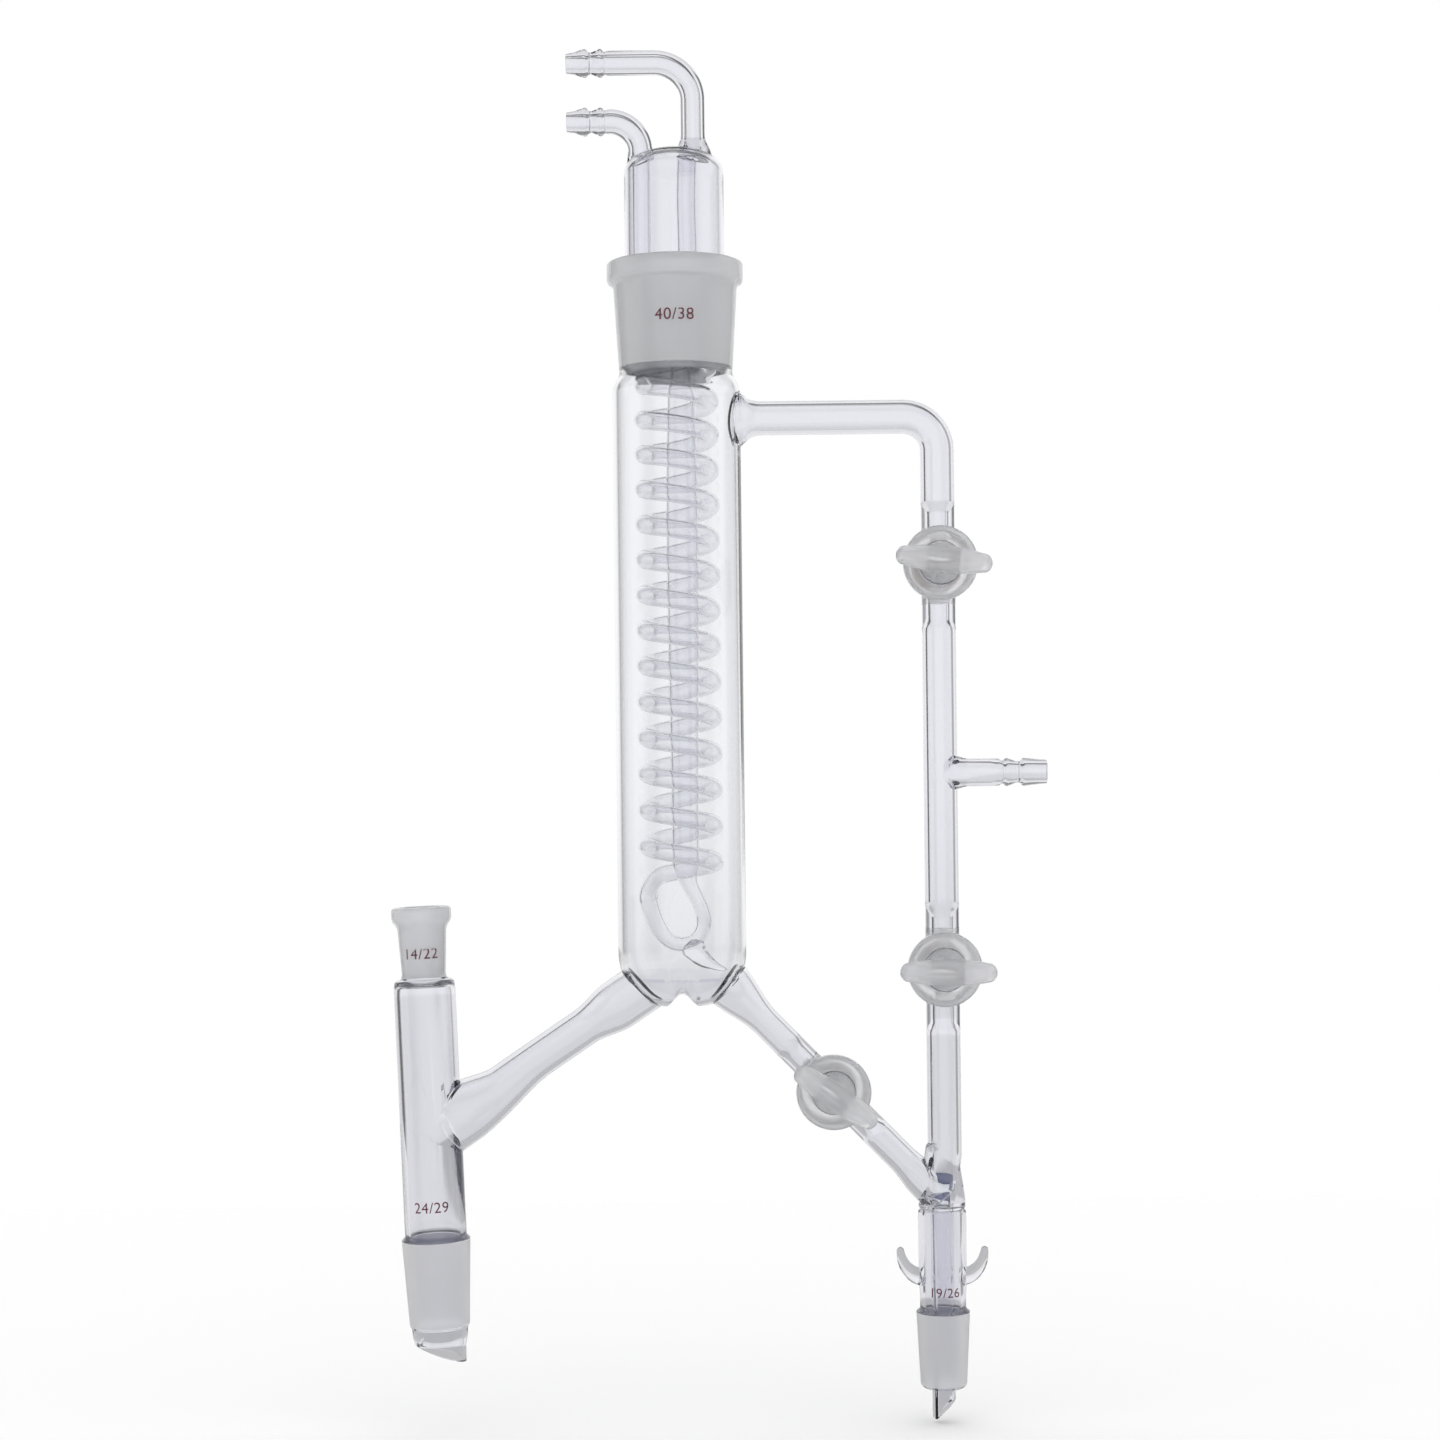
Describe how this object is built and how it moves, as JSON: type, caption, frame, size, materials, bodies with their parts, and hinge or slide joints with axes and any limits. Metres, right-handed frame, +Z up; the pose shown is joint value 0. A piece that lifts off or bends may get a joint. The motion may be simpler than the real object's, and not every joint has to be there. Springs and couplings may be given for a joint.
{
  "type": "fractionation head",
  "caption": "Glass distillation head with column, wide tube round a coil condenser, vacuum line, stopcocks and take-off.",
  "frame": {"origin": "middle of the wide end of the column's ground cone, where the head stands in the flask or column below", "axes": "+Z up along the wide tube, +X from the column towards the take-off, +Y away from the stopcock handles"},
  "size_m": [0.2311, 0.0546, 0.4828],
  "materials": {
    "clear_glass": "clear, with ground joints",
    "condenser_glass": "clear",
    "ground_glass": "ground cone, fire polished handle",
    "brown_rubber": "matt",
    "pale_rubber": "matt"
  },
  "bodies": {
    "head": {"head_body": "clear_glass", "condenser_insert": "condenser_glass"},
    "vent_stopcock": {"vent_plug": "ground_glass", "vent_plug_ring": "brown_rubber"},
    "receiver_stopcock": {"receiver_plug": "ground_glass", "receiver_plug_ring": "pale_rubber"},
    "takeoff_stopcock": {"takeoff_plug": "ground_glass", "takeoff_plug_ring": "pale_rubber"}
  },
  "joints": [
    {"name": "vent_turn", "type": "hinge", "parent": "head", "child": "vent_stopcock", "pos_m": [0.1793, 0, 0.2351], "axis": [0, 1, 0], "continuous": true},
    {"name": "receiver_turn", "type": "hinge", "parent": "head", "child": "receiver_stopcock", "pos_m": [0.1793, 0, 0.0936], "axis": [0, 1, 0], "continuous": true},
    {"name": "takeoff_turn", "type": "hinge", "parent": "head", "child": "takeoff_stopcock", "pos_m": [0.1401, 0, 0.0513], "axis": [0, 1, 0], "continuous": true}
  ]
}
